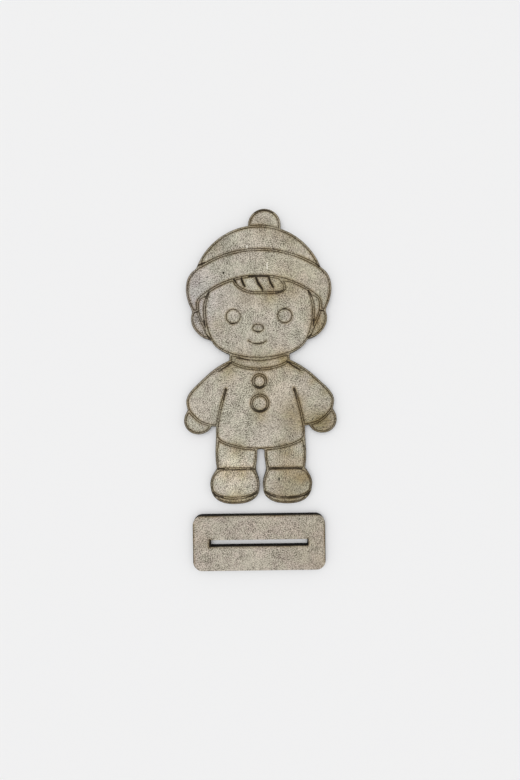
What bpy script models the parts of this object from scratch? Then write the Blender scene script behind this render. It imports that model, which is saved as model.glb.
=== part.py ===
"""Paintable wooden doll: a boy cut and scored from thin fibreboard, and the slotted base he stands in.

Both boards lie face up, as they come out of the bag. Sizes are in millimetres, and the scene is in metres.
The drawing has x to the boy's left hand, y up from his soles, and its origin midway between his feet.
"""

from math import ceil, radians

import bmesh
import bpy
import numpy as np

MM = 0.001

# Sheet, cut and score
SHEET_THICKNESS = 2.7
LINE_WIDTH = 0.86  # a drawn line is scored along both its sides, this far apart
SCORE_DEPTH = 0.25  # V-shaped, so a score is twice this wide at the surface
CUTTER_LIFT = 0.05  # the score cutters ride this far above the face
RING_DEEPER = 0.013  # rings are scored a little deeper, so one that crosses another line leaves clean edges
TIP_CLEARANCE = 0.05  # a score's tightest bend over the cutter's half width
FACET_ERROR = 0.03  # how far a straight facet may leave its curve
POINT_STEP = 1.7  # longest step along a freely drawn curve
SHORTEST_STEP = 0.2  # shortest facet of a cut or scored outline

# Base and lay-out
BASE_WIDTH = 60.0
BASE_DEPTH = 25.0
BASE_CORNER_RADIUS = 4.2
SLOT_CLEARANCE = 0.2  # slot over sheet, both faces together
SLOT_END_CLEARANCE = 1.4  # slot over feet, at each end
SLOT_END_PLAY = 0.1  # the base lies so far aside that the feet keep only this at one end
FOOT_GAP = 5.2  # soles to base, as the boards lie
STAND_CLEARANCE = 0.6  # soles over the base, once the boy is turned upright

# Hat
CROWN_TOP = 125.75
BRIM_TOP = 115.2
BRIM_BOTTOM = 103.2
HAT_CORNER = (27.8, 106.7)
BRIM_NOTCH = (29.9, 87.45)  # where the brim ends over the ear
POMPOM_CENTRE = (2.95, 126.05)
POMPOM_RADIUS = 7.0

# Face
CHIN = 65.9
EYE_SPACING = 23.4
EYE_HEIGHT = 85.0
EYE_RADIUS = 3.2
NOSE_CENTRE = (-0.5, 79.6)
NOSE_SIZE = (4.8, 3.3)
NOSE_SQUARENESS = 2.2  # exponent of the rounded oblong: 2 is an ellipse
BROW_CORNER = (22.3, 96.85)  # where the side of the face runs under the hat

# Coat
COLLAR_TOP = 65.2
COLLAR_BOTTOM = 60.95
HEM_BOTTOM = 24.7
HEM_END = (19.8, 30.5)
ARMPIT = (15.5, 51.8)
BUTTON_HEIGHTS = (55.5, 45.5)
BUTTON_RADII = (3.35, 4.15)
BUTTON_RIM = 0.9
BUTTON_ASIDE = -0.2  # the buttons from the middle line

# Legs and shoes
CROTCH = 25.05
ANKLE = 15.95
LEG_INSIDE = 2.0
SOLE_LINE = 2.65


def circle_through(a, b, c):
    """Centre and radius of the circle through three points."""
    a, b, c = (np.array(p, float) for p in (a, b, c))
    sides = 2 * np.array([b - a, c - a])
    squares = np.array([b @ b - a @ a, c @ c - a @ a])
    centre = np.linalg.solve(sides, squares)
    return centre, np.linalg.norm(a - centre)


def arc_points(centre, radius, start, turn):
    """Points on a circle from the angle start, turning by turn."""
    step = 2 * np.arccos(1 - FACET_ERROR / radius)
    angles = start + turn * np.linspace(0, 1, max(3, ceil(abs(turn) / step)) + 1)
    return centre + radius * np.column_stack([np.cos(angles), np.sin(angles)])


def arc(start, via, end):
    """A circular arc from start to end by way of a third point."""
    centre, radius = circle_through(start, via, end)
    first, middle, last = (np.arctan2(p[1] - centre[1], p[0] - centre[0]) for p in (start, via, end))
    turn = (last - first) % (2 * np.pi)
    if (middle - first) % (2 * np.pi) > turn:
        turn -= 2 * np.pi
    return arc_points(centre, radius, first, turn)


def circle(centre, radius):
    """A whole circle, without repeating its first point."""
    return arc_points(np.array(centre), radius, 0, 2 * np.pi)[:-1]


def smooth(*points):
    """A flowing curve through its points, for outlines that no single arc fits."""
    p = np.array(points, float)
    p = np.vstack([2 * p[0] - p[1], p, 2 * p[-1] - p[-2]])
    curve = [p[1:2]]
    for before, here, there, after in zip(p, p[1:], p[2:], p[3:]):
        count = max(2, ceil(np.linalg.norm(there - here) / POINT_STEP))
        t = np.linspace(0, 1, count + 1)[1:, None]
        leave, arrive = (there - before) / 2, (after - here) / 2
        curve.append(
            (2 * t**3 - 3 * t**2 + 1) * here
            + (t**3 - 2 * t**2 + t) * leave
            + (3 * t**2 - 2 * t**3) * there
            + (t**3 - t**2) * arrive
        )
    return np.vstack(curve)


def mirrored(curve):
    """The same curve on the boy's other side, run the other way."""
    return curve[::-1] * (-1, 1)


def both_sides(curve):
    """A curve that ends on the middle line, carried on to its mirror image."""
    return chain(curve, mirrored(curve))


def chain(*curves):
    """Curves end to end, without points that repeat."""
    points = np.vstack(curves)
    gaps = np.linalg.norm(np.diff(points, axis=0), axis=1)
    return points[np.append(True, gaps > 0.05)]


def closed(*curves):
    """Curves end to end as an outline that closes on its first point."""
    points = chain(*curves)
    return points[:-1] if np.linalg.norm(points[-1] - points[0]) < 0.05 else points


def between(curve, start_x, end_x):
    """The stretch of a left-to-right curve between two x values."""
    xs = np.sort(curve[:, 0])
    ys = curve[np.argsort(curve[:, 0]), 1]
    inner = xs[(xs > start_x + 0.1) & (xs < end_x - 0.1)]
    picked = np.concatenate([[start_x], inner, [end_x]])
    return np.column_stack([picked, np.interp(picked, xs, ys)])


def simplified(loop):
    """A finely sampled outline, cut down to the points that keep it within the facet error."""
    keep = np.zeros(len(loop), bool)
    far = int(np.argmax(np.linalg.norm(loop - loop[0], axis=1)))
    stretches = [(0, far), (far, len(loop))]
    points = np.vstack([loop, loop[:1]])
    while stretches:
        first, last = stretches.pop()
        keep[first] = True
        chord = points[last] - points[first]
        run = points[first + 1:last] - points[first]
        if not len(run):
            continue
        off = np.abs(run[:, 0] * chord[1] - run[:, 1] * chord[0]) / max(np.linalg.norm(chord), 1e-9)
        worst = int(np.argmax(off))
        if off[worst] > FACET_ERROR:
            middle = first + 1 + worst
            stretches += [(first, middle), (middle, last)]
    return loop[keep]


def inset(loop, distance):
    """A closed outline moved inwards by distance, or outwards if negative."""
    ahead = np.roll(loop, -1, axis=0)
    turning = np.sum(loop[:, 0] * ahead[:, 1] - ahead[:, 0] * loop[:, 1])
    if turning * distance < 0:
        loop = loop[::-1]
        ahead = np.roll(loop, -1, axis=0)
    edge = ahead - loop
    size = np.linalg.norm(edge, axis=1)
    left = np.column_stack([-edge[:, 1], edge[:, 0]]) / size[:, None]
    bearing = np.arctan2(left[:, 1], left[:, 0])
    bend = (bearing - np.roll(bearing, 1) + np.pi) % (2 * np.pi) - np.pi

    # Fine samples beside every edge, and round every corner that the new outline passes on the outside
    feet, normals = [], []
    for number, corner in enumerate(loop):
        if bend[number] < -0.02 or abs(bend[number]) > 3.1:
            steps = ceil(abs(bend[number]) / 0.15) + 1
            sweep = bearing[number - 1] - np.linspace(0, abs(bend[number]), steps)
            feet.append(np.tile(corner, (len(sweep), 1)))
            normals.append(np.column_stack([np.cos(sweep), np.sin(sweep)]))
        t = np.linspace(0, 1, ceil(size[number] / 0.08) + 1)[:, None]
        feet.append(corner + t * edge[number])
        normals.append(np.tile(left[number], (len(t), 1)))
    feet, normals = np.vstack(feet), np.vstack(normals)
    moved = feet + normals * abs(distance)

    # Samples nearer another stretch of the outline, or across it, lie past a corner
    offset = moved[:, None] - loop[None]
    t = np.clip(np.sum(offset * edge, axis=2) / size**2, 0, 1)
    nearest = np.linalg.norm(offset - t[:, :, None] * edge, axis=2).min(axis=1)
    above = loop[None, :, 1] > moved[:, None, 1]
    spans = above != np.roll(above, -1, axis=1)
    rise = np.where(edge[:, 1] == 0, 1, edge[:, 1])
    hits = spans & (offset[:, :, 0] < offset[:, :, 1] / rise * edge[:, 0])
    inside = np.sum(hits, axis=1) % 2 == 1
    loop = simplified(moved[(nearest > 0.985 * abs(distance)) & (inside == (distance > 0))])
    return loop[np.linalg.norm(loop - np.roll(loop, 1, axis=0), axis=1) > SHORTEST_STEP]


def score_line(loop):
    """The score inside a drawn shape. Its corners are rounded as far as the cutter's own width."""
    radius = SCORE_DEPTH + CUTTER_LIFT + TIP_CLEARANCE
    return inset(inset(loop, LINE_WIDTH / 2 + radius), -radius)


def remove_everything():
    for obj in list(bpy.data.objects):
        bpy.data.objects.remove(obj, do_unlink=True)


def new_collection(name):
    collection = bpy.data.collections.new(name)
    bpy.context.scene.collection.children.link(collection)
    return collection


def new_material(name, colour, roughness):
    material = bpy.data.materials.new(name)
    material.use_nodes = True
    shader = material.node_tree.nodes["Principled BSDF"]
    shader.inputs["Base Color"].default_value = (*colour, 1)
    shader.inputs["Roughness"].default_value = roughness
    shader.inputs["Metallic"].default_value = 0.0
    return material


def new_curve(name, lines, closed, radii=None):
    """A curve object with one straight-sided spline for each line of points."""
    data = bpy.data.curves.new(name, "CURVE")
    for number, line in enumerate(lines):
        spline = data.splines.new("POLY")
        spline.points.add(len(line) - 1)
        rows = np.column_stack([line * MM, np.zeros(len(line)), np.ones(len(line))])
        spline.points.foreach_set("co", rows.ravel())
        if radii:
            spline.points.foreach_set("radius", radii[number])
        spline.use_cyclic_u = closed
    return bpy.data.objects.new(name, data)


def curve_to_mesh(curve, collection, materials):
    """Replace a curve object by a closed mesh object of the same name."""
    name = curve.name
    collection.objects.link(curve)
    evaluated = curve.evaluated_get(bpy.context.evaluated_depsgraph_get())
    mesh = bpy.data.meshes.new_from_object(evaluated)
    matrix = curve.matrix_world.copy()
    bpy.data.objects.remove(curve, do_unlink=True)
    bm = bmesh.new()
    bm.from_mesh(mesh)
    bmesh.ops.remove_doubles(bm, verts=bm.verts, dist=0.000002)
    flat = [e for e in bm.edges if len(e.link_faces) == 2 and e.calc_face_angle() < radians(0.01)]
    bmesh.ops.dissolve_edges(bm, edges=flat, use_verts=False)
    bmesh.ops.recalc_face_normals(bm, faces=bm.faces)
    bm.to_mesh(mesh)
    bm.free()
    mesh.materials.clear()
    for material in materials:
        mesh.materials.append(material)
    obj = bpy.data.objects.new(name, mesh)
    obj.matrix_world = matrix
    collection.objects.link(obj)
    return obj


def cut_sheet(name, outlines, collection, board, scorched):
    """A flat board of the sheet's thickness, lying on the ground, with scorched edges."""
    curve = new_curve(name, outlines, closed=True)
    curve.data.dimensions = "2D"
    curve.data.fill_mode = "BOTH"
    curve.data.extrude = SHEET_THICKNESS * MM / 2
    obj = curve_to_mesh(curve, collection, [board, scorched])
    obj.location.z = SHEET_THICKNESS * MM / 2
    for face in obj.data.polygons:
        face.material_index = int(abs(face.normal.z) < 0.5)
    return obj


def score_cutter(name, lines, closed, collection, scorched, radii=None, deeper=0.0):
    """Tubes with four sides along the score lines, sunk in the face, which leave V-shaped grooves."""
    curve = new_curve(name, lines, closed, radii)
    curve.data.dimensions = "3D"
    curve.data.twist_mode = "Z_UP"
    curve.data.bevel_depth = (SCORE_DEPTH + CUTTER_LIFT) * MM
    curve.data.bevel_resolution = 0
    curve.data.use_fill_caps = not closed
    obj = curve_to_mesh(curve, collection, [scorched])
    obj.location.z = (SHEET_THICKNESS / 2 + CUTTER_LIFT - deeper) * MM
    obj.hide_render = True
    obj.display_type = "WIRE"
    return obj


def score(board, cutter):
    modifier = board.modifiers.new(cutter.name, "BOOLEAN")
    modifier.operation = "DIFFERENCE"
    modifier.solver = "EXACT"
    modifier.use_self = True
    modifier.material_mode = "TRANSFER"
    modifier.object = cutter


def hat_curves():
    """The hat's lines. Each is drawn once, and the shapes on both its sides share it."""
    left_corner = (-HAT_CORNER[0], HAT_CORNER[1])
    crown = arc(HAT_CORNER, (0, CROWN_TOP), left_corner)
    brim_top = arc(left_corner, (0, BRIM_TOP), HAT_CORNER)
    brim_side = smooth(
        HAT_CORNER, (30.5, 104.2), (32.0, 101.3), (32.55, 97.6),
        (32.2, 94.2), (31.4, 91.2), (30.55, 89.1), BRIM_NOTCH,
    )
    brim_end = smooth((27.8, 87.6), (27.85, 89.4), (27.75, 91.4), (26.9, 93.2))
    brim_bottom = both_sides(arc((26.9, 93.2), (15.2, 100.4), (0, BRIM_BOTTOM)))
    return crown, brim_top, brim_side, brim_end, brim_bottom


def pompom_curves(crown_middle, crown_radius):
    """The round of the pompom down to the crown, and the stretch of the crown between its feet."""
    middle = np.array(POMPOM_CENTRE)
    apart = middle - crown_middle
    distance = np.linalg.norm(apart)
    along = (distance**2 + crown_radius**2 - POMPOM_RADIUS**2) / (2 * distance)
    across = np.sqrt(crown_radius**2 - along**2)
    foot = crown_middle + apart / distance * along
    side = np.array([apart[1], -apart[0]]) / distance * across
    right, left = foot + side, foot - side
    top = middle + apart / distance * POMPOM_RADIUS
    under = crown_middle + apart / distance * crown_radius
    return arc(right, top, left), arc(left, under, right)


def head_curves(brim_end):
    """The side of the face down to the chin, the fringe, and both edges of an ear."""
    face_side = smooth(
        BROW_CORNER, (23.6, 93.7), (24.45, 90.4), (24.65, 87),
        (24.4, 83), (23.85, 80), (22.85, 77), (21.7, 74.5),
    )
    chin = smooth((21.7, 74.5), (19.4, 71.5), (15.2, 68.85), (10, 67.05), (5, CHIN + 0.25), (0, CHIN))
    fringe = smooth(
        (-11.5, 101.75), (-10.4, 99.6), (-8.35, 97.8), (-5.8, 96.4), (-3, 95.7), (1.5, 95.5),
        (6, 95.55), (9.0, 95.75), (10.9, 96.2), (11.75, 97.2), (11.7, 98.5), (11.0, 100.1), (9.7, 102.05),
    )
    ear_side = smooth(
        BRIM_NOTCH, (30.35, 85), (30.25, 82.4), (29.3, 79.9), (27.6, 77.75), (25.5, 76.1), (21.7, 74.5)
    )
    ear_root = smooth(brim_end[0], (27.0, 84.9), (25.75, 82.2), (24.6, 79.8), (23.4, 77), (21.7, 74.5))
    return face_side, chin, fringe, ear_side, ear_root


def coat_curves():
    """The collar, shoulder, cuff, hand, side and hem of the coat, on the boy's left."""
    collar_top = smooth((13.1, 67.75), (10.2, 67.1), (5.5, 65.85), (0, COLLAR_TOP))
    collar_bottom = smooth((13.35, 64.75), (10.3, 62.9), (5, COLLAR_BOTTOM + 0.45), (0, COLLAR_BOTTOM))
    shoulder = smooth(
        (13.35, 64.75), (17.8, 62.45), (22.4, 59.2), (26.9, 55.1),
        (30.7, 51.4), (32.6, 48.5), (33.05, 46), (32.4, 42.7),
    )
    cuff = smooth((32.4, 42.7), (31, 40.9), (28.2, 38.15), (25.3, 36.6), (22.4, 35.8), (19.6, 35.5))
    hand = smooth(
        (32.4, 42.7), (33.75, 40.1), (34.15, 37.6), (33.45, 35.2), (31.9, 33.4),
        (29.9, 32.4), (27.5, 32.15), (25.2, 32.75), (23.7, 33.8), (22.4, 35.8),
    )
    seam = smooth(ARMPIT, (16.15, 49.8), (17.4, 45.5), (18.5, 41), (19.6, 35.5))
    skirt = smooth((19.6, 35.5), (19.8, 33), HEM_END)
    hem = smooth(
        HEM_END, (19.15, 29.5), (17.9, 28.45), (15.9, 27.45), (13.4, 26.55),
        (8.6, 25.4), (4, HEM_BOTTOM + 0.2), (0, HEM_BOTTOM),
    )
    return collar_top, collar_bottom, shoulder, cuff, hand, seam, skirt, hem


def leg_curves():
    """The outside and inside of the boy's left leg, and his shoe with the lines over and round its sole."""
    leg_outside = smooth(HEM_END, (20.0, 26.6), (20.15, 23), (20.0, 19.3), (19.55, ANKLE))
    leg_inside = smooth((2.7, ANKLE), (2.45, 18), (LEG_INSIDE + 0.1, 21), (LEG_INSIDE, 24.2))
    crotch = smooth((LEG_INSIDE, 24.2), (1.3, CROTCH - 0.15), (0, CROTCH))
    shoe_outside = smooth((19.55, ANKLE), (21.1, 13.7), (22.2, 11.6), (22.65, 9.1), (22.2, 5.95))
    sole_edge = smooth(
        (22.2, 5.95), (21.3, 4.0), (19.6, 2.25), (17.2, 1.05), (14, 0.45), (10.4, LINE_WIDTH / 2),
        (6.8, 0.95), (4.1, 2.15), (2.3, 3.8), (1.45, 5.5),
    )
    shoe_inside = smooth((1.45, 5.5), (1.15, 8.4), (1.35, 10.5), (1.9, 12.5), (2.5, 14.4), (2.7, ANKLE))
    shoe_top = smooth(
        (2.35, ANKLE - 2.35), (2.8, ANKLE - 1.3), (3.8, ANKLE - 0.4), (5.6, ANKLE), (11, ANKLE),
        (16.4, ANKLE), (18.7, ANKLE - 0.4), (20.2, ANKLE - 1.35), (21.15, ANKLE - 2.35),
    )
    sole_line = smooth(
        (1.45, 5.5), (5, 3.7), (8.7, SOLE_LINE + 0.2), (13.2, SOLE_LINE),
        (17.3, 3.2), (20.3, 4.4), (22.2, 5.95),
    )
    return leg_outside, leg_inside, crotch, shoe_outside, sole_edge, shoe_inside, shoe_top, sole_line


def draw_boy():
    """The boy's drawing along the middle of its lines: his edge, the middle shapes, and those in pairs."""
    crown, brim_top, brim_side, brim_end, brim_bottom = hat_curves()
    pompom, pompom_foot = pompom_curves(*circle_through(crown[0], (0, CROWN_TOP), crown[-1]))
    face_side, chin, fringe, ear_side, ear_root = head_curves(brim_end)
    collar_top, collar_bottom, shoulder, cuff, hand, seam, skirt, hem = coat_curves()
    leg_outside, leg_inside, crotch, shoe_outside, sole_edge, shoe_inside, shoe_top, sole_line = leg_curves()

    brow = BROW_CORNER[0]
    brim_right = chain(brim_side, brim_end)
    middle = [
        closed(pompom, pompom_foot),
        closed(crown, brim_top),
        closed(brim_right, brim_bottom, mirrored(brim_right), brim_top),
        closed(between(brim_bottom, fringe[0, 0], fringe[-1, 0]), fringe[::-1]),
        closed(
            face_side, both_sides(chin), mirrored(face_side),
            between(brim_bottom, -brow, fringe[0, 0]), fringe, between(brim_bottom, fringe[-1, 0], brow),
        ),
        closed(both_sides(collar_top), both_sides(collar_bottom)[::-1]),
        closed(both_sides(chain(collar_bottom[::-1], shoulder, cuff, seam[::-1], seam, skirt, hem))),
    ]
    side = [
        closed(ear_side, ear_root[::-1]),
        closed(between(brim_bottom, brow, brim_bottom[0, 0]), brim_end[::-1], ear_root, face_side[::-1]),
        closed(hand, cuff[cuff[:, 0] > hand[-1, 0]][::-1]),
        closed(leg_outside, leg_inside, hem[hem[:, 0] > LEG_INSIDE][::-1]),
        closed(
            shoe_outside[shoe_outside[:, 1] < shoe_top[-1, 1]], sole_line[::-1],
            shoe_inside[shoe_inside[:, 1] < shoe_top[0, 1]], shoe_top,
        ),
        closed(sole_edge, sole_line),
    ]

    edge = chain(
        brim_side, ear_side, chin[chin[:, 0] > collar_top[0, 0]], collar_top[:1], shoulder, hand,
        cuff[cuff[:, 0] < hand[-1, 0] - 0.3], skirt, leg_outside, shoe_outside, sole_edge,
        shoe_inside, leg_inside, crotch,
    )
    outline = closed(
        crown[crown[:, 0] > pompom[0, 0]], pompom, crown[crown[:, 0] < pompom[-1, 0]],
        edge * (-1, 1), edge[::-1],
    )
    return outline, middle, side


def draw_rings():
    """The outlines scored with a single line: eyes, nose and both rings of each button."""
    angle = np.linspace(0, 2 * np.pi, 24, endpoint=False)
    oblong = np.column_stack([np.cos(angle), np.sin(angle)])
    oblong = np.sign(oblong) * np.abs(oblong) ** (2 / NOSE_SQUARENESS)
    rings = [np.array(NOSE_CENTRE) + oblong * np.array(NOSE_SIZE) / 2]
    for side in (-1, 1):
        rings.append(circle((side * EYE_SPACING / 2, EYE_HEIGHT), EYE_RADIUS))
    for height, radius in zip(BUTTON_HEIGHTS, BUTTON_RADII):
        rings.append(circle((BUTTON_ASIDE, height), radius))
        rings.append(circle((BUTTON_ASIDE, height), radius - BUTTON_RIM))
    return rings


def draw_strokes():
    """The open strokes: mouth, hair, hair tips and shoulder folds. All but the mouth thin out."""
    mouth = smooth(
        (-5, 74), (-3.6, 73.15), (-2.2, 72.6), (-0.7, 72.4), (0.8, 72.55), (2, 73.05), (3.2, 73.8)
    )
    fold = smooth((14.3, 62.75), (16.3, 61.6), (18.2, 60.3))
    hair_tip = smooth((25.15, 83.6), (24.9, 82.2), (24.45, 80.6))
    thinning = [
        smooth((-7.7, 101.6), (-7.2, 100.4), (-6.4, 98.8)),
        smooth((-0.9, 102.2), (-0.6, 100.8), (0.3, 99.2), (1.6, 97.4)),
        smooth((4.9, 101.8), (5.3, 100.3), (6.4, 98.2)),
        hair_tip,
        hair_tip * (-1, 1),
        fold,
        fold * (-1, 1),
    ]
    lines = [mouth] + thinning
    radii = [np.ones(len(mouth))] + [np.linspace(1, 0.6, len(line)) for line in thinning]
    return lines, radii


def half_width_at(outline, height):
    """How far an outline reaches from the middle line at a height."""
    ahead = np.roll(outline, -1, axis=0)
    crosses = (outline[:, 1] < height) != (ahead[:, 1] < height)
    low, high = outline[crosses], ahead[crosses]
    t = (height - low[:, 1]) / (high[:, 1] - low[:, 1])
    return np.abs(low[:, 0] + t * (high[:, 0] - low[:, 0])).max()


def rounded_rectangle(width, depth, radius):
    x, y = width / 2 - radius, depth / 2 - radius
    corners = [(x, y), (-x, y), (-x, -y), (x, -y)]
    return np.vstack([
        arc_points(np.array(corner), radius, quarter * np.pi / 2, np.pi / 2)
        for quarter, corner in enumerate(corners)
    ])


def main():
    remove_everything()
    parts = new_collection("paintable_wooden_doll")
    cutters = new_collection("score_cutters")
    figure_board = new_material("figure_fibreboard", (0.40, 0.35, 0.27), 0.75)
    base_board = new_material("base_fibreboard", (0.40, 0.35, 0.27), 0.75)
    scorched = new_material("scorched_edge", (0.05, 0.035, 0.022), 0.85)

    drawing, middle, side = draw_boy()
    outline = inset(drawing, -LINE_WIDTH / 2)
    outline -= (0, outline[:, 1].min())
    height = outline[:, 1].max()

    # The boards lie in line, centred on the origin as a pair
    length = BASE_DEPTH + FOOT_GAP + height
    base_y = BASE_DEPTH / 2 - length / 2
    sole_y = base_y + BASE_DEPTH / 2 + FOOT_GAP

    slot_length = 2 * (half_width_at(outline, SHEET_THICKNESS) + SLOT_END_CLEARANCE)
    slot_width = SHEET_THICKNESS + SLOT_CLEARANCE
    slot = np.array([(1, 1), (-1, 1), (-1, -1), (1, -1)]) * (slot_length / 2, slot_width / 2)
    plate = rounded_rectangle(BASE_WIDTH, BASE_DEPTH, BASE_CORNER_RADIUS)
    base = cut_sheet("slotted_base", [plate, slot], parts, base_board, scorched)
    base.location.x = (SLOT_END_PLAY - SLOT_END_CLEARANCE) * MM
    base.location.y = base_y * MM

    # The boy turns a quarter about this axis from lying face up to standing over the slot
    reach = sole_y - base_y
    stand = SHEET_THICKNESS + STAND_CLEARANCE
    axis_y = base_y + (SHEET_THICKNESS / 2 + reach - stand) / 2
    axis_z = (SHEET_THICKNESS / 2 - reach + stand) / 2
    pivot = bpy.data.objects.new("stand_up_axis", None)
    pivot.location = (0, axis_y * MM, axis_z * MM)
    parts.objects.link(pivot)

    figure = cut_sheet("doll_figure", [outline], parts, figure_board, scorched)
    figure.parent = pivot
    figure.location.y = (sole_y - axis_y) * MM
    figure.location.z -= axis_z * MM

    pairs = [score_line(loop) for loop in side]
    lines = [score_line(loop) for loop in middle] + pairs + [mirrored(loop) for loop in pairs]
    shapes = score_cutter("score_shapes", lines, True, cutters, scorched)
    rings = score_cutter("score_rings", draw_rings(), True, cutters, scorched, deeper=RING_DEEPER)
    strokes, radii = draw_strokes()
    dashes = score_cutter("score_strokes", strokes, False, cutters, scorched, radii)
    for cutter in (shapes, rings, dashes):
        cutter.parent = figure
        score(figure, cutter)


main()
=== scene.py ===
from math import ceil

import bpy
import numpy as np
from mathutils import Matrix, Vector, kdtree
from mathutils.geometry import delaunay_2d_cdt


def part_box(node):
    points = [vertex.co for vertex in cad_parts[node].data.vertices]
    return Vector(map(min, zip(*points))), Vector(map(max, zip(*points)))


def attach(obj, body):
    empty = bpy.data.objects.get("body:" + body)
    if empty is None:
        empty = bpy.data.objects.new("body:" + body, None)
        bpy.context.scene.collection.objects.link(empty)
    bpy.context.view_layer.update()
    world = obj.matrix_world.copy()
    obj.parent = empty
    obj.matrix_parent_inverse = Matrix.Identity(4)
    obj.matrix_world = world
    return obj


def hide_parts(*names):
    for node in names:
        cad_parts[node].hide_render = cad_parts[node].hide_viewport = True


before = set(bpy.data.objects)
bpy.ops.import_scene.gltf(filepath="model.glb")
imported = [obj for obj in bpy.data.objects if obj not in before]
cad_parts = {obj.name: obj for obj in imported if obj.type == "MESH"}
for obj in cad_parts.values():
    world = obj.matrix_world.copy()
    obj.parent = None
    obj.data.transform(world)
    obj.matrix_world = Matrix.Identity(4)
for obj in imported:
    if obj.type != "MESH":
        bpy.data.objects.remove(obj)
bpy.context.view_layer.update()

# Slotted base: a rounded plate of raw thin fibreboard with one straight slot for the boy's shoes.
# A laser cuts it from the sheet, so its walls are charred and smoke has settled along the cuts.
# It lies loose and flat on the table, a few millimetres away from the soles.

MM = 1000  # the frame is in metres, and the boards are worked out in millimetres


def welded(node):
    """A CAD node's corner points in millimetres, without doubles, and its triangles."""
    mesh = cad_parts[node].data
    mesh.calc_loop_triangles()
    places = np.empty(len(mesh.vertices) * 3)
    mesh.vertices.foreach_get("co", places)
    corners = np.empty(len(mesh.loop_triangles) * 3, int)
    mesh.loop_triangles.foreach_get("vertices", corners)
    microns = np.round(places.reshape(-1, 3) * MM * 1000).astype(int)
    microns, same = np.unique(microns, axis=0, return_inverse=True)
    return microns / 1000, same.ravel()[corners].reshape(-1, 3)


def edges_between(triangles, chosen):
    """The edges of these triangles whose two ends are both chosen points."""
    edges = set()
    for triangle in triangles:
        for a, b in zip(triangle, np.roll(triangle, 1)):
            if chosen[a] and chosen[b] and a != b:
                edges.add((min(a, b), max(a, b)))
    return edges


def strung(edges):
    """Edges strung into runs of points, from fork to fork. A run that closes repeats its first point."""
    beside = {}
    for a, b in edges:
        beside.setdefault(a, set()).add(b)
        beside.setdefault(b, set()).add(a)
    ways = {point: len(others) for point, others in beside.items()}
    runs = []
    for start in sorted(beside, key=lambda point: (ways[point] == 2, point)):
        while beside[start]:
            run = [start]
            while beside[run[-1]] and (len(run) == 1 or ways[run[-1]] == 2):
                there = min(beside[run[-1]])
                beside[run[-1]].discard(there)
                beside[there].discard(run[-1])
                run.append(there)
            runs.append(run)
    return runs


def flowing(points, step):
    """A facetted line as a smooth one with short steps. True corners stay sharp."""
    corner_cosine = 0.8
    closed = np.allclose(points[0], points[-1])
    along = np.diff(points, axis=0)
    size = np.linalg.norm(along[:, :2], axis=1)
    way = along / size[:, None]
    before = np.vstack([way[-1:] if closed else way[:1], way])
    after = np.vstack([way, way[:1] if closed else way[-1:]])
    corner = np.sum(before[:, :2] * after[:, :2], axis=1) < corner_cosine
    weight = size**2
    tangent = before * np.append(weight[-1] if closed else weight[0], weight)[:, None]
    tangent += after * np.append(weight, weight[0] if closed else weight[-1])[:, None]
    tangent /= np.maximum(np.linalg.norm(tangent[:, :2], axis=1), 1e-6)[:, None]
    line = [points[:1]]
    for i in range(len(along)):
        t = np.linspace(0, 1, ceil(size[i] / step) + 1)[1:, None]
        leave = (way[i] if corner[i] else tangent[i]) * size[i]
        arrive = (way[i] if corner[i + 1] else tangent[i + 1]) * size[i]
        line.append(
            (2 * t**3 - 3 * t**2 + 1) * points[i] + (t**3 - 2 * t**2 + t) * leave
            + (3 * t**2 - 2 * t**3) * points[i + 1] + (t**3 - t**2) * arrive
        )
    return np.vstack(line)


def cut_outlines(node, step):
    """The laser's cuts through a board: closed lines of points on its upper edge, in millimetres.

    The rim comes first and runs anticlockwise. A slot runs clockwise, so that every wall faces outwards.
    """
    near, no_area = 0.01, 1e-4
    points, triangles = welded(node)
    top, bottom = points[:, 2].max(), points[:, 2].min()
    a, b, c = np.moveaxis(points[triangles], 1, 0)
    upright = np.abs(np.cross(b[:, :2] - a[:, :2], c[:, :2] - a[:, :2])) < no_area
    through = upright & (points[triangles][:, :, 2].min(axis=1) < bottom + near)
    runs = strung(edges_between(triangles[through], points[:, 2] > top - near))
    outlines = []
    for run in runs:
        # Meshes hold 32-bit numbers, so the face and the walls start from the same rounded points
        outline = flowing(points[run][:, :2], step)[:-1].astype(np.float32).astype(float)
        x, y = outline.T
        anticlockwise = np.sum(x * np.roll(y, -1) - np.roll(x, -1) * y) > 0
        is_rim = not outlines
        outlines.append(outline if anticlockwise == is_rim else outline[::-1])
    return outlines


def is_inside(points, outlines):
    """Which points lie inside the board, and not in a slot."""
    crossings = np.zeros(len(points), int)
    for outline in outlines:
        for (ax, ay), (bx, by) in zip(outline, np.roll(outline, -1, axis=0)):
            if ay != by:
                spans = (points[:, 1] < ay) != (points[:, 1] < by)
                crossings += spans & (points[:, 0] < ax + (points[:, 1] - ay) / (by - ay) * (bx - ax))
    return crossings % 2 == 1


def closely(line, step=0.1):
    """Points at an even short step along a line. What else a point carries is eased along with it."""
    size = np.append(0, np.cumsum(np.linalg.norm(np.diff(line[:, :2], axis=0), axis=1)))
    at = np.linspace(0, size[-1], ceil(size[-1] / step) + 1)
    return np.column_stack([np.interp(at, size, column) for column in line.T])


def along_cuts(outlines, step=0.1):
    """Points at an even short step along all cuts of a board."""
    return np.vstack([closely(np.vstack([outline, outline[:1]]), step) for outline in outlines])


def nearest(points, samples):
    """For each point, how far the nearest sample is and which it is."""
    tree = kdtree.KDTree(len(samples))
    for number, (x, y) in enumerate(samples):
        tree.insert((x, y, 0), number)
    tree.balance()
    found = [tree.find((x, y, 0)) for x, y in points]
    return np.array([f[2] for f in found]), np.array([f[1] for f in found])


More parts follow.
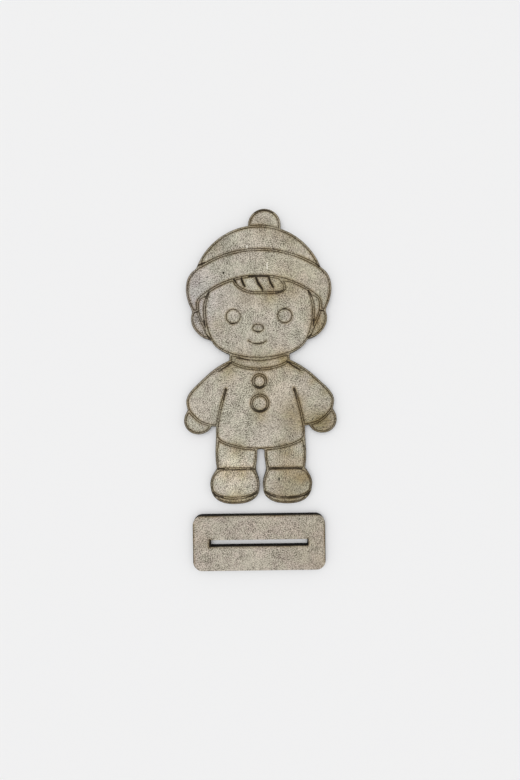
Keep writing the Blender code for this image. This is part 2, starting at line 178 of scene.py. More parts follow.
def spread_points(outlines, spacing, margin):
    """Loosely scattered points over a board, kept a margin away from its cuts."""
    looseness, seed = 0.3, 7
    low = np.min([o.min(axis=0) for o in outlines], axis=0)
    high = np.max([o.max(axis=0) for o in outlines], axis=0)
    x, y = np.meshgrid(np.arange(low[0], high[0], spacing), np.arange(low[1], high[1], spacing))
    points = np.column_stack([x.ravel(), y.ravel()])
    points += np.random.default_rng(seed).uniform(-looseness, looseness, points.shape) * spacing
    points = points[is_inside(points, outlines)]
    return points[nearest(points, along_cuts(outlines, step=0.3))[0] > margin]


def well_apart(points, outlines):
    """Those of the points that lie on the board, clear of its cuts and of each other."""
    clear_of_cuts, cell = 0.12, 0.16
    points = points[is_inside(points, outlines)]
    points = points[nearest(points, along_cuts(outlines))[0] > clear_of_cuts]
    return points[np.unique(np.round(points / cell).astype(int), axis=0, return_index=True)[1]]


def filled(outlines, lines, points):
    """A flat face inside its outlines: its corners, and triangles with edges along the lines."""
    places, edges = [], []
    for line, closed in [(o, True) for o in outlines] + [(line, False) for line in lines]:
        first = len(places)
        places += [Vector(p) for p in line]
        edges += [(i, i + 1) for i in range(first, len(places) - 1)]
        if closed:
            edges.append((len(places) - 1, first))
    places += [Vector(p) for p in points]
    with_hull, weld = 0, 1e-4
    corners, _, faces, _, _, _ = delaunay_2d_cdt(places, edges, [], with_hull, weld)
    corners, faces = np.array([tuple(c) for c in corners]), np.array([tuple(f) for f in faces])
    return corners, faces[is_inside(corners[faces].mean(axis=1), outlines)]


def cut_board(name, outlines, thickness, face, sink, marks):
    """One board as a mesh: the scored face, the plain back, and the walls that the laser left.

    Sink is how deep each corner of the face lies in a score. The marks are the face's values for its
    material, which are smooth over the board: gaps in millimetres, and the rest as strengths.
    """
    clean = {"score_gap": 9.0, "edge_gap": 0.0, "smoke": 0.0, "stain": 0.0, "scorch": 0.0, "bare": 0.0}
    cuts = along_cuts(outlines)
    front, front_faces = face
    back, back_faces = filled(outlines, [], spread_points(outlines, spacing=2.5, margin=1.2))
    levels = [
        (front, thickness - sink, front_faces, {**marks, "edge_gap": nearest(front, cuts)[0]}),
        (back, np.zeros(len(back)), back_faces[:, ::-1], {"edge_gap": nearest(back, cuts)[0]}),
    ]
    for outline in outlines:
        size = len(outline)
        rows = np.linspace(thickness, 0, num=5)
        here = np.arange(size)
        there = np.roll(here, -1)
        band = np.column_stack([here, here + size, there + size, there])
        quads = np.vstack([band + row * size for row in range(len(rows) - 1)])
        levels.append((np.tile(outline, (len(rows), 1)), np.repeat(rows, size), quads, {}))

    places, faces, values = [], [], {key: [] for key in clean}
    count = 0
    for flat, height, corners, kept in levels:
        places.append(np.column_stack([flat, height]))
        faces += (corners + count).tolist()
        count += len(flat)
        for key, value in clean.items():
            values[key].append(kept.get(key, np.full(len(flat), value)))
    mesh = bpy.data.meshes.new(name)
    mesh.from_pydata(np.vstack(places) / MM, [], faces)
    for key, value in values.items():
        mesh.attributes.new(key, "FLOAT", "POINT").data.foreach_set("value", np.concatenate(value))
    wall = np.arange(len(faces)) >= len(front_faces) + len(back_faces)
    mesh.polygons.foreach_set("material_index", wall.astype(int))
    mesh.polygons.foreach_set("use_smooth", wall)
    mesh.validate()
    mesh.update()
    board = bpy.data.objects.new(name, mesh)
    bpy.context.scene.collection.objects.link(board)
    return board


def burn_samples(burns, origin):
    """Close points along burns, each x, y and reach. A burn is a string of such points from an origin."""
    samples = np.vstack([closely(np.array(burn)) for burn in burns])
    samples[:, :2] += origin
    return samples


def rings_round(places, reaches):
    """Eight points round each place, at each reach."""
    angles = np.arange(8) * np.pi / 4
    return [
        places + reach * np.array([np.cos(angle), np.sin(angle)]) for reach in reaches for angle in angles
    ]


def burn_gap(points, samples):
    """How far each point lies outside the nearest burn."""
    away, which = nearest(points, samples[:, :2])
    return away - samples[which, 2]


def soft_spots(points, spots, origin):
    """The sum of soft round spots. A spot is x and y from the origin, reach and strength."""
    total = np.zeros(len(points))
    for x, y, reach, strength in spots:
        total += strength * np.exp(-np.sum((points - origin - (x, y)) ** 2, axis=1) / reach**2)
    return total


def add(tree, kind, *values, **settings):
    """A shader node. The values fill its inputs in order: a socket is linked, and None is left alone."""
    node = tree.nodes.new("ShaderNode" + kind)
    for key, value in settings.items():
        setattr(node, key, value)
    for socket, value in zip(node.inputs, values):
        if isinstance(value, bpy.types.NodeSocket):
            tree.links.new(value, socket)
        elif value is not None:
            socket.default_value = value
    return node


def maths(tree, operation, *values):
    return add(tree, "Math", *values, operation=operation).outputs[0]


def ramp(tree, value, start, end, low=0.0, high=1.0):
    """A value eased from low at start to high at end."""
    node = add(tree, "MapRange", value, start, end, low, high, interpolation_type="SMOOTHSTEP")
    return node.outputs[0]


def blend(tree, share, first, second, how="MIX"):
    """Two colours blended by a share. MULTIPLY tints the first with the second as far as the share says."""
    node = tree.nodes.new("ShaderNodeMix")
    node.data_type, node.blend_type = "RGBA", how
    for socket, value in zip((node.inputs[0], node.inputs[6], node.inputs[7]), (share, first, second)):
        if isinstance(value, bpy.types.NodeSocket):
            tree.links.new(value, socket)
        else:
            socket.default_value = value
    return node.outputs[2]


def noise(tree, place, scale, detail=2.0, roughness=0.5):
    """Soft noise about 0.5. The scale is in lumps to the metre."""
    return add(tree, "TexNoise", place, None, scale, detail, roughness).outputs["Fac"]


def new_group(name, inputs, outputs):
    """An empty shader node group with named sockets."""
    tree = bpy.data.node_groups.new(name, "ShaderNodeTree")
    for direction, sockets in (("INPUT", inputs), ("OUTPUT", outputs)):
        for socket, kind in sockets:
            tree.interface.new_socket(socket, in_out=direction, socket_type="NodeSocket" + kind)
    return tree, tree.nodes.new("NodeGroupInput").outputs, tree.nodes.new("NodeGroupOutput").inputs


def fibreboard_group():
    """Pressed wood fibre: fine mottled grain, short pale and dark fibres, bark specks, uneven tone."""
    tree, given, result = new_group(
        "fibreboard",
        [("Place", "Vector"), ("Pale", "Color"), ("Dark", "Color")],
        [("Color", "Color"), ("Height", "Float"), ("Roughness", "Float")],
    )
    place = given["Place"]
    # Fibres lie three ways: turn, lumps to the metre across and along, and a shift that sets them apart
    ways = ((0.4, 5200, 1300, 0.0), (1.5, 4800, 1150, 0.1), (2.6, 5600, 1400, 0.2))
    through_board = 900
    strands = None
    for turn, across, along, shift in ways:
        turned = add(tree, "VectorRotate", place, None, None, turn, rotation_type="Z_AXIS").outputs[0]
        stretch = (along, across, through_board)
        stretched = add(tree, "Mapping", turned, (shift, shift, shift), (0, 0, 0), stretch).outputs[0]
        strand = noise(tree, stretched, 1.0, 2, 0.5)
        strands = strand if strands is None else maths(tree, "ADD", strands, strand)
    grain = noise(tree, place, 2200, 2, 0.7)
    patches = noise(tree, place, 260, 2, 0.5)
    tone = noise(tree, place, 70, 3, 0.6)
    fibre = maths(tree, "MULTIPLY", strands, 0.5)
    for part, share in ((grain, 1.5), (patches, 0.28), (tone, 0.24)):
        fibre = maths(tree, "MULTIPLY_ADD", part, share, fibre)
    lightness = add(tree, "MapRange", fibre, 1.49, 1.935, 0.0, 1.0).outputs[0]
    colour = blend(tree, lightness, given["Dark"], given["Pale"])

    greenish, reddish = (0.98, 1.01, 0.98, 1), (1.01, 0.995, 1.0, 1)
    hue = blend(tree, ramp(tree, noise(tree, place, 160, 2), 0.38, 0.62), greenish, reddish)
    colour = blend(tree, 1.0, colour, hue, "MULTIPLY")

    bark = (0.08, 0.062, 0.042, 1)
    cells = add(tree, "TexVoronoi", place, None, 1200, feature="F1")
    chosen = add(tree, "SeparateColor", cells.outputs["Color"]).outputs[0]
    speck_size = add(tree, "MapRange", chosen, 0.5, 1.0, 0.0, 0.3).outputs[0]
    speck = maths(tree, "LESS_THAN", cells.outputs["Distance"], speck_size)
    colour = blend(tree, maths(tree, "MULTIPLY", speck, 0.85), colour, bark)

    sunken = maths(tree, "MULTIPLY", speck, 0.3)
    tree.links.new(colour, result["Color"])
    tree.links.new(maths(tree, "SUBTRACT", fibre, sunken), result["Height"])
    tree.links.new(ramp(tree, fibre, 1.3, 2.1, 0.94, 0.8), result["Roughness"])


def laser_scorch_group():
    """What the laser leaves on a face: charred lines, brown haze beside them, smoke, stains and soot, with
    painted light and shade.
    """
    tree, given, result = new_group(
        "laser_scorch",
        [
            ("Place", "Vector"), ("Board", "Color"), ("Score Gap", "Float"), ("Edge Gap", "Float"),
            ("Smoke", "Float"), ("Stain", "Float"), ("Scorch", "Float"), ("Bare", "Float"),
            ("Edge Burn", "Float"),
        ],
        [("Color", "Color")],
    )
    place = given["Place"]
    ragged = maths(tree, "MULTIPLY", maths(tree, "SUBTRACT", noise(tree, place, 2400, 2), 0.5), 0.2)
    patchy = noise(tree, place, 130, 3, 0.6)
    score = maths(tree, "ADD", given["Score Gap"], ragged)
    edge = maths(tree, "ADD", given["Edge Gap"], ragged)

    # Haze beside scores and cuts, smoke that drifted further with painted shade over one side, and painted
    # light that makes patches paler
    haze_tint, smoke_and_shade_tint = (0.46, 0.38, 0.24, 1), (0.60, 0.53, 0.37, 1)
    edge_share = ramp(tree, given["Edge Burn"], 0.0, 0.6)
    beside_cut = maths(tree, "MULTIPLY", ramp(tree, edge, 1.6, 0.0), edge_share)
    haze = maths(tree, "MAXIMUM", ramp(tree, score, 1.9, 0.0), beside_cut)
    uneven = ramp(tree, patchy, 0.3, 0.7, 0.45, 1.0)
    haze = maths(tree, "MULTIPLY", maths(tree, "POWER", haze, 2.4), uneven)
    colour = blend(tree, haze, given["Board"], haze_tint, "MULTIPLY")
    # The veil is smoke, and painted shade where it darkens the side away from the light
    veil = maths(tree, "MULTIPLY", given["Smoke"], ramp(tree, patchy, 0.25, 0.7, 0.6, 1.0))
    colour = blend(tree, veil, colour, smoke_and_shade_tint, "MULTIPLY")
    # Painted light: the board is made paler where more light falls, and pale where loose fibres lie
    brighter = maths(tree, "MULTIPLY_ADD", given["Bare"], 0.2, 1.0)
    paler = add(tree, "CombineColor", brighter, brighter, brighter).outputs[0]
    colour = blend(tree, 1.0, colour, paler, "MULTIPLY")

    # Soot, which is black where it lies thick
    soot_brown, soot_black = (0.055, 0.044, 0.028, 1), (0.012, 0.009, 0.005, 1)
    sooty = ramp(tree, noise(tree, place, 1200, 2), 0.3, 0.65, 0.55, 1.0)
    colour = blend(tree, maths(tree, "MULTIPLY", given["Scorch"], sooty), colour, soot_brown)
    colour = blend(tree, ramp(tree, given["Scorch"], 1.0, 1.7), colour, soot_black)

    # Char on the lines themselves, deepest inside a burn
    char_brown, char_black = (0.03, 0.021, 0.01, 1), (0.011, 0.008, 0.004, 1)
    broken = ramp(tree, patchy, 0.3, 0.65, 0.75, 1.0)
    scored = maths(tree, "MULTIPLY", ramp(tree, score, 0.26, 0.06), broken)
    cut = maths(tree, "MULTIPLY", ramp(tree, edge, 0.24, 0.03), given["Edge Burn"])
    colour = blend(tree, maths(tree, "MAXIMUM", scored, cut), colour, char_brown)
    colour = blend(tree, ramp(tree, score, 0.0, -0.25, 0.0, 0.8), colour, char_black)

    # A stained board is yellow where the strength is positive. Where it is negative it is painted cool
    # light, grey as on the side the light falls from. Loose fibres lie over all
    yellow_tint, painted_cool_light_tint = (1.07, 0.99, 0.86, 1), (0.91, 0.92, 1.08, 1)
    loose_fibre = (0.87, 0.83, 0.74, 1)
    colour = blend(tree, given["Stain"], colour, yellow_tint, "MULTIPLY")
    colour = blend(tree, maths(tree, "MULTIPLY", given["Stain"], -1.0), colour, painted_cool_light_tint, "MULTIPLY")
    colour = blend(tree, ramp(tree, given["Bare"], 2.5, 5.0), colour, loose_fibre)
    tree.links.new(colour, result["Color"])


def new_material(name, specular):
    """A new material, with its node tree, its shader and the socket of its object coordinates."""
    material = bpy.data.materials.new(name)
    material.use_nodes = True
    tree = material.node_tree
    shader = tree.nodes["Principled BSDF"]
    shader.inputs["Specular IOR Level"].default_value = specular
    return material, tree, shader, add(tree, "TexCoord").outputs["Object"]


def face_material(name, pale, dark, edge_burn):
    """Raw fibreboard as the laser left it."""
    material, tree, shader, place = new_material(name, specular=0.25)
    board = add(tree, "Group", node_tree=bpy.data.node_groups["fibreboard"])
    tree.links.new(place, board.inputs["Place"])
    board.inputs["Pale"].default_value = pale
    board.inputs["Dark"].default_value = dark
    burn = add(tree, "Group", node_tree=bpy.data.node_groups["laser_scorch"])
    tree.links.new(place, burn.inputs["Place"])
    tree.links.new(board.outputs["Color"], burn.inputs["Board"])
    burn.inputs["Edge Burn"].default_value = edge_burn
    for socket in ("Score Gap", "Edge Gap", "Smoke", "Stain", "Scorch", "Bare"):
        mark = add(tree, "Attribute", attribute_name=socket.lower().replace(" ", "_"))
        tree.links.new(mark.outputs["Fac"], burn.inputs[socket])
    relief, fibre_height = 0.35, 0.00006
    bump = add(tree, "Bump", relief, fibre_height)
    tree.links.new(board.outputs["Height"], bump.inputs["Height"])
    tree.links.new(burn.outputs["Color"], shader.inputs["Base Color"])
    tree.links.new(board.outputs["Roughness"], shader.inputs["Roughness"])
    tree.links.new(bump.outputs["Normal"], shader.inputs["Normal"])
    return material


def wall_material(name):
    """The laser's cut through the board: charred, with the beam's fine upright streaks."""
    material, tree, shader, place = new_material(name, specular=0.1)
    soot, char, crumbs = (0.002, 0.0016, 0.0012, 1), (0.017, 0.012, 0.008, 1), (0.055, 0.037, 0.022, 1)
    upright = add(tree, "Mapping", place, None, None, (3200, 3200, 160)).outputs[0]
    streaks = noise(tree, upright, 1.0, 3, 0.6)
    crust = noise(tree, place, 1400, 3, 0.65)
    colour = blend(tree, ramp(tree, streaks, 0.35, 0.7), soot, char)
    colour = blend(tree, ramp(tree, crust, 0.58, 0.76, 0.0, 0.5), colour, crumbs)
    relief, streak_height = 0.6, 0.00008
    bump = add(tree, "Bump", relief, streak_height)
    tree.links.new(maths(tree, "ADD", streaks, maths(tree, "MULTIPLY", crust, 0.5)), bump.inputs["Height"])
    tree.links.new(colour, shader.inputs["Base Color"])
    tree.links.new(ramp(tree, streaks, 0.3, 0.7, 0.7, 0.92), shader.inputs["Roughness"])
    tree.links.new(bump.outputs["Normal"], shader.inputs["Normal"])
    return material


fibreboard_group()
laser_scorch_group()

base_low, base_high = (np.array(corner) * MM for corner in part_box("slotted_base"))
base_middle = (base_low[:2] + base_high[:2]) / 2
base_outlines = cut_outlines("slotted_base", step=0.6)
end_x, end_y = np.ptp(base_outlines[0], axis=0) / 2
slot_x, slot_y = np.ptp(base_outlines[1], axis=0) / 2

# Where the beam burnt the face beside its cut, as strings of x, y and reach from the middle of the base
base_burns = burn_samples([
    [(-end_x + 3, end_y - 0.1, 0.1), (0, end_y, 0.16), (end_x - 3, end_y - 0.1, 0.1)],
    [(-end_x, end_y - 4, 0.1), (-end_x, 0, 0.02), (-end_x, 4 - end_y, 0.1)],
    [(end_x, end_y - 4, 0.1), (end_x, 0, 0.1), (end_x, 4 - end_y, 0.1)],
    [(-slot_x, -slot_y, 0.1), (slot_x, -slot_y, 0.1)],
    [(-slot_x - 0.2, -slot_y, 0.4), (-slot_x - 0.2, slot_y, 0.3)],
    [(slot_x, -slot_y, 0.3), (slot_x, slot_y, 0.2)],
], base_middle)
# Smoke on the face: x and y from the middle of the base, reach and strength
base_drifts = [
    (-25, 1, 4, 0.3), (-29, 11, 4, 0.25), (4, 11, 9, 0.15),
    (24, -2, 13, 0.3), (29, 11, 4, 0.3), (29, -9, 4, 0.3),
]

round_burns = rings_round(base_burns[::4, :2], reaches=(0.3, 0.65, 1.1))
base_points = np.vstack([spread_points(base_outlines, spacing=0.9, margin=0.3)] + round_burns)
base_face = filled(base_outlines, [], well_apart(base_points, base_outlines))
base_marks = {
    "score_gap": burn_gap(base_face[0], base_burns),
    "smoke": soft_spots(base_face[0], base_drifts, base_middle),
}
unscored = np.zeros(len(base_face[0]))
base = cut_board("base_board", base_outlines, base_high[2] - base_low[2], base_face, unscored, base_marks)
base.data.materials.append(
    face_material("base_face", pale=(0.675, 0.600, 0.508, 1), dark=(0.053, 0.039, 0.024, 1), edge_burn=0.1)
)
base.data.materials.append(wall_material("base_cut"))
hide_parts("slotted_base")
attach(base, "base")

# Boy: one flat board, cut round the outside and scored on its face with everything that is to be painted.
# Each drawn line is two fine scores side by side. The laser burns deeper where it starts, stops and turns.
# The board is loose: a hand stands it up and pushes the shoes into the slot.

SCORE_WIDTH = 0.42
SCORE_DEPTH = 0.24

figure_low, figure_high = (np.array(corner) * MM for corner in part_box("doll_figure"))
figure_thickness = figure_high[2] - figure_low[2]
sole = np.array([0.0, figure_low[1]])
figure_outlines = cut_outlines("doll_figure", step=0.5)

# Marks on the face are placed by x across and y up from between the soles.
# Where the beam dwelt: strings of x, y and reach. The first list is on both sides
dwells = [
    # temple, tip of the hair, foot of the ear, and the brim's end over the ear
    [(22.5, 96.3, 0.2), (23.3, 95.0, 0.32), (23.9, 93.4, 0.1)],
    [(24.6, 83.2, 0.1), (24.75, 81.6, 0.3), (24.4, 80.2, 0.1)],
    [(23.7, 76.7, 0.1), (22.8, 75.5, 0.4), (22.0, 74.8, 0.2)],
    [(27.9, 87.3, 0.25), (29.1, 87.0, 0.15)],
    # end of the collar with the fold of the shoulder, and top of the sleeve's seam
    [(12.5, 64.3, 0.2), (13.2, 63.9, 0.34), (14.6, 62.6, 0.2), (16.6, 61.4, 0.2), (18.4, 60.2, 0.1)],
    [(15.35, 52.5, 0.05), (15.6, 51.3, 0.2), (16.1, 49.3, 0.14), (16.7, 47.2, 0.05)],
    # outer and inner end of the line over the sole
    [(21.9, 5.4, 0.25), (20.9, 4.2, 0.42), (19.3, 3.5, 0.25), (17.3, 3.0, 0.1)],
    [(1.8, 5.4, 0.25), (2.8, 4.5, 0.42), (4.6, 3.6, 0.3), (6.6, 3.1, 0.1)],
]
dwells += [[(-x, y, reach) for x, y, reach in dwell] for dwell in dwells]
dwells += [
    # three strokes of hair, from left to right
    [(-7.75, 102.2, 0.36), (-7.3, 100.6, 0.46), (-6.35, 98.6, 0.34)],
    [(-1.2, 102.8, 0.3), (-0.7, 101.0, 0.44), (0.3, 99.2, 0.5), (1.5, 97.5, 0.4), (1.95, 96.3, 0.05)],
    [(4.7, 102.4, 0.3), (5.3, 100.3, 0.46), (6.6, 98.0, 0.4)],
    # edge of the brim over the fringe, then the fringe's right and left end
    [(-4.5, 103.0, 0.15), (-1.0, 103.25, 0.3), (2.0, 103.2, 0.3), (5.0, 102.9, 0.15)],
    [(7.6, 95.7, 0.15), (10.2, 95.9, 0.28), (11.5, 96.8, 0.15)],
    [(-11.2, 101.8, 0.42), (-10.2, 100.2, 0.2)],
    # left and right corner of the brim
    [(-27.9, 108.0, 0.3), (-26.8, 108.5, 0.34), (-24.5, 109.6, 0.1)],
    [(27.6, 107.2, 0.35), (26.2, 108.2, 0.15)],
    # under the left eye, and over the right one
    [(-13.2, 82.0, 0.1), (-12.0, 81.75, 0.3), (-10.8, 81.9, 0.1)],
    [(10.4, 88.0, 0.12), (11.6, 88.2, 0.32), (12.9, 88.0, 0.12)],
    # under the nose, and the mouth
    [(-2.0, 78.4, 0.1), (-1.1, 78.0, 0.34), (0.2, 78.0, 0.1)],
    [(-2.6, 72.75, 0.12), (-0.5, 72.4, 0.26), (1.6, 72.85, 0.12)],
    # under the upper and the lower button
    [(-2.4, 53.6, 0.1), (-1.4, 52.9, 0.28), (-0.2, 52.6, 0.36), (1.0, 52.9, 0.28), (2.0, 53.6, 0.1)],
    [(-3.0, 43.1, 0.1), (-1.8, 42.2, 0.28), (-0.2, 41.8, 0.36), (1.4, 42.2, 0.28), (2.6, 43.1, 0.1)],
    # top of the collar, on the left
    [(-10.4, 66.1, 0.1), (-7.2, 65.6, 0.2), (-4.4, 65.1, 0.1)],
    # top of the right shoe, then outer and inner end of the left one's top
    [(3.4, 15.7, 0.22), (6.0, 15.95, 0.26), (8.0, 15.95, 0.1), (16.0, 15.95, 0.12), (18.4, 15.8, 0.22)],
    [(-19.6, 16.1, 0.34), (-16.5, 15.95, 0.12)],
    [(-3.0, 15.7, 0.34), (-5.2, 15.95, 0.1)],
    # line over the right sole, and middle of the left shoe's top
    [(8.7, 2.85, 0.08), (13.2, 2.65, 0.14), (17.3, 3.1, 0.14)],
    [(-17.0, 15.6, 0.1), (-12.0, 15.5, 0.2), (-6.5, 15.6, 0.1)],
    # top of the pompom
    [(-1.5, 131.7, 0.1), (0.5, 132.7, 0.1), (2.8, 133.1, 0.14), (5.0, 132.7, 0.1), (7.0, 131.7, 0.1)],
]
dwells = burn_samples(dwells, sole)
# Specks of bark in the board: x, y and half sizes across and up
bark_specks = [
    (-15.9, 104.8, 0.36, 0.44), (-23.3, 102.8, 0.28, 0.26), (8.1, 11.0, 0.28, 0.8), (19.6, 26.0, 0.4, 0.24),
]
# Drifted smoke over the face, with painted shade: the broad spots on the right side darken it where less
# light falls: x, y, reach and strength
smoke_and_shade_drifts = [
    # hat
    (-2.0, 130.0, 2.4, 0.1), (14.4, 119.8, 4.0, 0.45), (8.5, 122.6, 2.6, 0.5), (2.0, 125.0, 5.0, 0.5),
    (-19.5, 116.5, 3.0, 0.6), (28.0, 98.0, 14.0, 0.2),
    # head
    (4.0, 94.0, 5.0, 0.75), (-6.0, 93.5, 4.0, 0.4), (11.0, 99.5, 5.5, 0.5), (15.8, 96.5, 4.0, 0.35),
    (24.0, 90.0, 5.0, 0.25), (-19.0, 81.5, 4.5, 0.45), (-26.8, 80.0, 3.0, 0.1), (26.8, 81.0, 4.2, 0.65),
    # collar and shoulders
    (11.0, 65.3, 3.4, 0.9), (-9.0, 65.0, 4.5, 0.6), (2.0, 64.0, 6.0, 0.6), (14.5, 62.0, 3.5, 0.6),
    (-14.0, 62.2, 3.5, 0.6), (-15.3, 58.0, 5.0, 0.45), (19.4, 59.3, 2.2, 0.7), (23.8, 55.1, 2.2, 0.7),
    # coat and hands
    (29.6, 50.5, 2.4, 0.7), (0.0, 50.3, 2.8, 0.8), (-0.4, 40.2, 4.0, 0.8), (17.2, 47.0, 3.0, 0.5),
    (14.4, 40.4, 6.5, 0.65), (17.0, 35.0, 6.0, 0.4), (24.0, 44.0, 13.0, 0.15), (28.4, 36.5, 6.0, 1.3),
    (-28.4, 36.5, 4.5, 0.1),
    # legs and shoes
    (-11.0, 24.6, 4.2, 1.0), (11.0, 24.4, 4.6, 0.95), (18.0, 20.0, 3.0, 0.4), (12.0, 14.6, 6.0, 0.6),
    (-15.4, 13.8, 3.4, 0.55), (-8.4, 13.8, 3.4, 0.55), (20.0, 12.0, 4.5, 0.95), (12.0, 10.0, 11.0, 0.2),
    (11.0, 2.0, 8.0, 0.4), (-11.0, 1.4, 4.5, 0.5),
]
# Where the board is stained yellower; a negative strength is painted cool light that greys the left side: x,
# y, reach and strength
stains_and_cool_light = [
    (-29.0, 97.0, 11.0, -0.7), (-27.5, 84.0, 8.0, -0.55), (14.4, 108.0, 16.0, 0.35), (10.0, 97.0, 5.0, 0.4),
    (26.8, 81.0, 5.0, 0.9), (11.0, 66.0, 4.0, 0.6), (3.7, 57.0, 12.0, 0.4), (-16.0, 14.5, 4.0, 0.6),
    (-8.0, 14.5, 4.0, 0.6), (12.0, 15.5, 4.0, 0.4), (-11.0, 2.2, 4.4, 0.9), (11.0, 2.2, 4.4, 0.7),
]
# Soot between the two rings of a button: x, y, inner and outer radius
button_rings = [(-0.2, 55.5, 2.45, 3.35), (-0.2, 45.5, 3.25, 4.15)]
# Patches made paler. The strongest, over the left leg and shoe, are painted light from the left: x, y, reach
# and strength
painted_light_patches = [
    (-12.0, 20.0, 7.5, 1.8), (-12.5, 9.0, 7.5, 1.4), (0.0, 88.0, 9.0, 0.3), (-16.0, 45.0, 16.0, 0.3),
    (12.0, 20.0, 8.0, 0.5), (12.0, 54.0, 6.0, 0.35), (10.7, 105.7, 4.5, 0.45), (-29.0, 86.0, 4.0, 0.35),
]
# Loose pale fibres, all upright: x, y and length
pale_fibres = [(-5.0, 116.6, 1.4), (3.95, 107.6, 2.4)]

# The bottoms of the scores, as lines of x, y and depth
corners, facets = welded("doll_figure")
least_depth, most_depth = 0.09, figure_thickness - 1.0
depth = figure_high[2] - corners[:, 2]
sunk = (depth > least_depth) & (depth < most_depth)
score_lines = []
for run in strung(edges_between(facets, sunk)):
    score_lines.append(flowing(np.column_stack([corners[run][:, :2], depth[run]]), step=0.5))
deepest = max(line[:, 2].max() for line in score_lines)
score_samples = np.vstack([closely(line) for line in score_lines])
score_share = score_samples[:, 2] / deepest

# The edges of the grooves, left out where one groove runs into another, and rows of points beside them
half_width = SCORE_WIDTH / 2
rim_clearance = 0.85  # of a groove's half width
groove_edges, beside_scores = [], []
for line in score_lines:
    way = np.gradient(line[:, :2], axis=0)
    way /= np.maximum(np.linalg.norm(way, axis=1), 1e-9)[:, None]
    across = np.column_stack([-way[:, 1], way[:, 0]])
    share = (line[:, 2] / deepest)[:, None]
    for side in (-1, 1):
        rim = line[:, :2] + side * across * half_width * share
        clear = nearest(rim, score_samples[:, :2])[0] > rim_clearance * half_width * share.ravel()
        for stretch in np.split(np.arange(len(rim)), np.flatnonzero(np.diff(clear.astype(int))) + 1):
            if clear[stretch[0]] and len(stretch) > 1:
                groove_edges.append(rim[stretch])
        beside_scores += [line[:, :2] + side * across * reach for reach in (0.43, 0.95)]

# More points where a mark begins and ends
beside_cuts = []
for outline in figure_outlines:
    way = np.roll(outline, -1, axis=0) - np.roll(outline, 1, axis=0)
    inwards = np.column_stack([-way[:, 1], way[:, 0]]) / np.linalg.norm(way, axis=1)[:, None]
    beside_cuts += [outline + inwards * reach for reach in (0.3, 0.8)]
some_dwells = dwells[::3]
round_dwells = rings_round(some_dwells[:, :2], [some_dwells[:, 2:] - 0.1, some_dwells[:, 2:] + 0.3])
fibre_samples = sole + np.vstack([
    (x, y + up) for x, y, length in pale_fibres for up in np.arange(-length, length, 0.2) / 2
])
beside_fibres = [fibre_samples + (aside, 0) for aside in (-0.3, -0.15, 0, 0.15, 0.3)]
over_a_speck = (-1.5, -0.9, 0, 0.9, 1.5)
over_specks = [
    sole + (x + i * half_across, y + j * half_up)
    for x, y, half_across, half_up in bark_specks for i in over_a_speck for j in over_a_speck
]
scattered = spread_points(figure_outlines, spacing=0.8, margin=0.3)
loose = np.vstack([scattered, *beside_scores, *beside_cuts, *round_dwells, *beside_fibres, over_specks])
clear_of_scores = half_width + 0.08
loose = loose[nearest(loose, score_samples[:, :2])[0] > clear_of_scores]
drawn = [line[:, :2] for line in score_lines] + groove_edges
figure_face = filled(figure_outlines, drawn, well_apart(loose, figure_outlines))

flat = figure_face[0]
gap, which = nearest(flat, score_samples[:, :2])
gap = gap / score_share[which]
sink = SCORE_DEPTH * score_share[which] * np.clip(1 - gap / half_width, 0, 1)
charred_share = 0.8  # of a dwell's reach
gap = np.minimum(gap, burn_gap(flat, dwells * (1, 1, charred_share)))

# Soot between a button's rings, darker towards its low side
soot_past_ring, soot_fade = 0.25, 0.2
soot_at_sides, more_below = 0.34, 0.26
scorch = np.zeros(len(flat))
for x, y, inner, outer in button_rings:
    offset = flat - sole - (x, y)
    away = np.linalg.norm(offset, axis=1)
    low_side = np.clip(-offset[:, 1] / outer, -1, 1)
    within = np.clip((outer + soot_past_ring - away) / soot_fade, 0, 1)
    within *= np.clip((away - inner + soot_past_ring) / soot_fade, 0, 1)
    scorch = np.maximum(scorch, within * (soot_at_sides + more_below * low_side))
# Soot clings to the rim, most of it low on the boy. It is full over a third of its reach
height = flat[:, 1] - sole[1]
rim_soot = np.interp(height, (0, 16, 28, 70, 95, 134), (0.95, 0.95, 0.8, 0.7, 0.45, 0.35))
rim_reach = np.interp(height, (0, 16, 28, 70), (0.85, 0.8, 0.6, 0.5))
rim_gap = nearest(flat, along_cuts(figure_outlines))[0]
scorch = np.maximum(scorch, rim_soot * np.clip(1.5 - 1.5 * rim_gap / rim_reach, 0, 1))
# A bark speck is black over most of its size and fades out at one and a half times it
speck_black = 1.8
for x, y, half_across, half_up in bark_specks:
    away = np.linalg.norm((flat - sole - (x, y)) / (half_across, half_up), axis=1)
    scorch = np.maximum(scorch, speck_black * np.clip(2.4 - 1.6 * away, 0, 1))

fibre_reach, fibre_fade, fibre_pale, most_smoke = 0.3, 0.15, 5.0, 1.3
on_fibre = np.clip((fibre_reach - nearest(flat, fibre_samples)[0]) / fibre_fade, 0, 1)
# Besides smoke, stains and soot, the marks hold painted shade on the right side and painted light and cool
# light on the left
figure_marks = {
    "score_gap": gap,
    "smoke": np.clip(soft_spots(flat, smoke_and_shade_drifts, sole), 0, most_smoke),
    "stain": soft_spots(flat, stains_and_cool_light, sole),
    "scorch": scorch,
    "bare": soft_spots(flat, painted_light_patches, sole) + fibre_pale * on_fibre,
}
figure = cut_board("figure_board", figure_outlines, figure_thickness, figure_face, sink, figure_marks)
figure.data.materials.append(
    face_material("figure_face", pale=(0.692, 0.638, 0.535, 1), dark=(0.056, 0.042, 0.026, 1), edge_burn=0.5)
)
figure.data.materials.append(wall_material("figure_cut"))
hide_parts("doll_figure")
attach(figure, "doll")

# Studio: a plain pale table, an even white room and one broad soft light from the upper left.
# The camera looks straight down from close above, turned a little as in the photograph.

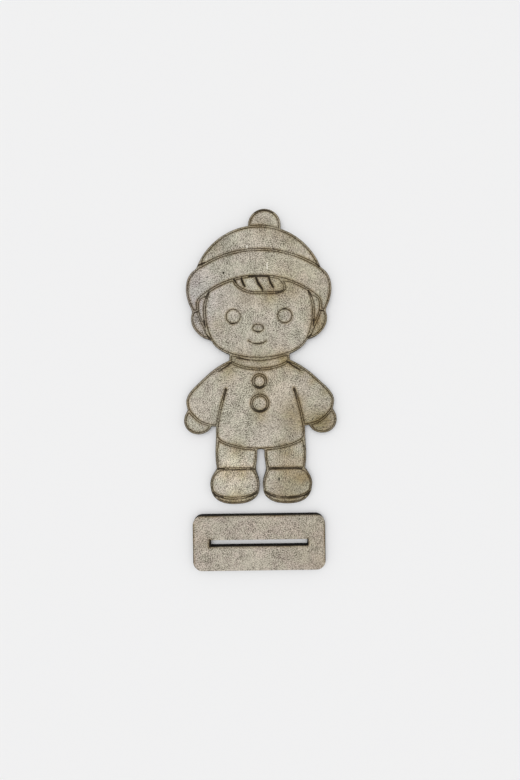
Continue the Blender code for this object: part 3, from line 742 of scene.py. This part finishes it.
TABLE_REACH = 20.0
table_mesh = bpy.data.meshes.new("table")
table_corners = [(x * TABLE_REACH, y * TABLE_REACH, 0) for x, y in ((-1, -1), (1, -1), (1, 1), (-1, 1))]
table_mesh.from_pydata(table_corners, [], [(0, 1, 2, 3)])
table = bpy.data.objects.new("table", table_mesh)
bpy.context.scene.collection.objects.link(table)
table_paint = bpy.data.materials.new("table_paint")
table_paint.use_nodes = True
paint = table_paint.node_tree.nodes["Principled BSDF"].inputs
paint["Base Color"].default_value = (0.88, 0.88, 0.883, 1)
paint["Roughness"].default_value = 0.9
table_mesh.materials.append(table_paint)

# To the camera the room is as bright as the lit table, so that views from the side show no horizon
ROOM_LIGHT, ROOM_LOOK = 0.7, 0.875
room = bpy.data.worlds.new("room")
room.use_nodes = True
walls = room.node_tree.nodes["Background"].inputs
walls["Color"].default_value = (1, 1, 1, 1)
seen = add(room.node_tree, "LightPath").outputs["Is Camera Ray"]
brightness = add(room.node_tree, "MapRange", seen, 0.0, 1.0, ROOM_LIGHT, ROOM_LOOK).outputs[0]
room.node_tree.links.new(brightness, walls["Strength"])
bpy.context.scene.world = room

soft_light = bpy.data.lights.new("soft_light", "SUN")
soft_light.energy, soft_light.angle = 0.95, 1.0
soft_box = bpy.data.objects.new("soft_box", soft_light)
soft_box.rotation_euler = Vector((0.2, -0.1, -1.0)).to_track_quat("-Z", "Y").to_euler()
bpy.context.scene.collection.objects.link(soft_box)
bpy.context.scene.view_settings.view_transform = "Standard"

PICTURE_HEIGHT = 780
PIXELS_PER_MM = 2.208
ABOVE_FACE = 160.0
AIM_ABOVE_SOLES = 51.5
SMALL_TURN = -0.0135
lens = bpy.data.cameras.new("lens")
lens.sensor_fit, lens.sensor_height, lens.clip_start = "VERTICAL", 36.0, 0.01
lens.lens = lens.sensor_height * ABOVE_FACE * PIXELS_PER_MM / PICTURE_HEIGHT
camera = bpy.data.objects.new("camera", lens)
stand_at = Vector((0.0, sole[1] + AIM_ABOVE_SOLES, figure_thickness + ABOVE_FACE)) / MM
camera.matrix_world = Matrix.Translation(stand_at) @ Matrix.Rotation(SMALL_TURN, 4, "Z")
bpy.context.scene.collection.objects.link(camera)
bpy.context.scene.camera = camera
